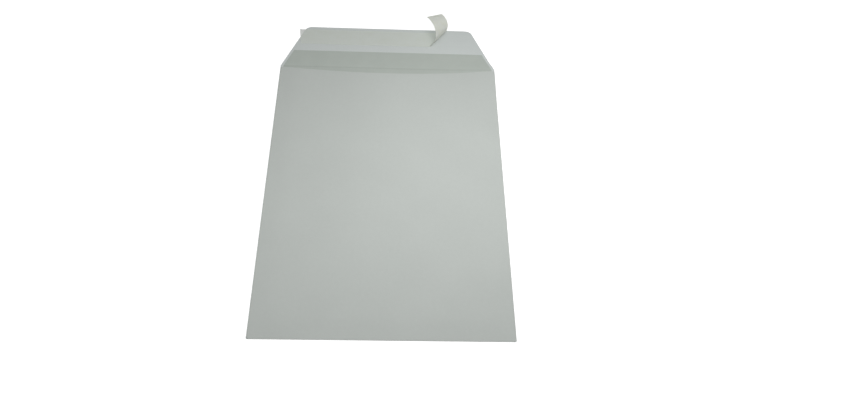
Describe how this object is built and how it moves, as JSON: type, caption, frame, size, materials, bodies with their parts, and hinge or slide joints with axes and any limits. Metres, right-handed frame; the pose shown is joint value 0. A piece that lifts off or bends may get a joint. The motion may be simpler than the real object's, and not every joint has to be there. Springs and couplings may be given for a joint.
{
  "type": "peel and seal envelope",
  "caption": "Large pocket envelope lying back up, with glued side seams, curved throat, open slanted flap, grey inside print, and a partly peeled release strip over the adhesive.",
  "frame": {"origin": "centre of the address face, the outer face of the front panel, midway between the bottom fold and the flap's fold line", "axes": "+X across the envelope, +Y towards the flap, +Z out of the back"},
  "size_m": [0.229, 0.3986, 0.0206],
  "materials": {
    "envelope_paper": "matte",
    "lining_print": "matte",
    "release_liner": "satin",
    "flap_adhesive": "gloss",
    "seam_glue": "matte"
  },
  "bodies": {
    "pocket": {"address_panel": "envelope_paper", "bottom_fold": "envelope_paper", "left_side_fold": "envelope_paper", "right_side_fold": "envelope_paper", "left_seam_flap": "envelope_paper", "right_seam_flap": "envelope_paper", "left_seam_glue": "seam_glue", "right_seam_glue": "seam_glue", "back_panel": "envelope_paper", "pocket_lining_print": "lining_print", "flap_crease": "lining_print"},
    "flap": {"closing_flap": "envelope_paper", "flap_lining_print": "lining_print", "flap_adhesive": "flap_adhesive"},
    "strip": {"release_strip": "release_liner"},
    "strip_tail": {"release_strip_tail": "release_liner"}
  },
  "joints": [
    {"name": "flap_fold", "type": "hinge", "parent": "pocket", "child": "flap", "pos_m": [0, 0.162, 0.00325], "axis": [-1, 0, 0], "range_deg": [-180, 0], "deforming": ["flap_crease", "release_strip_tail"]},
    {"name": "strip_pull", "type": "slide", "parent": "flap", "child": "strip", "axis": [-1, 0, 0], "range_m": [0, 0.17]},
    {"name": "tail_lift", "type": "hinge", "parent": "strip", "child": "strip_tail", "pos_m": [0.04413, 0.1965, 0.00022], "axis": [-0.5878, -0.809, 0], "range_deg": [0, 25], "stiffness_Nm_per_rad": 0.001}
  ]
}
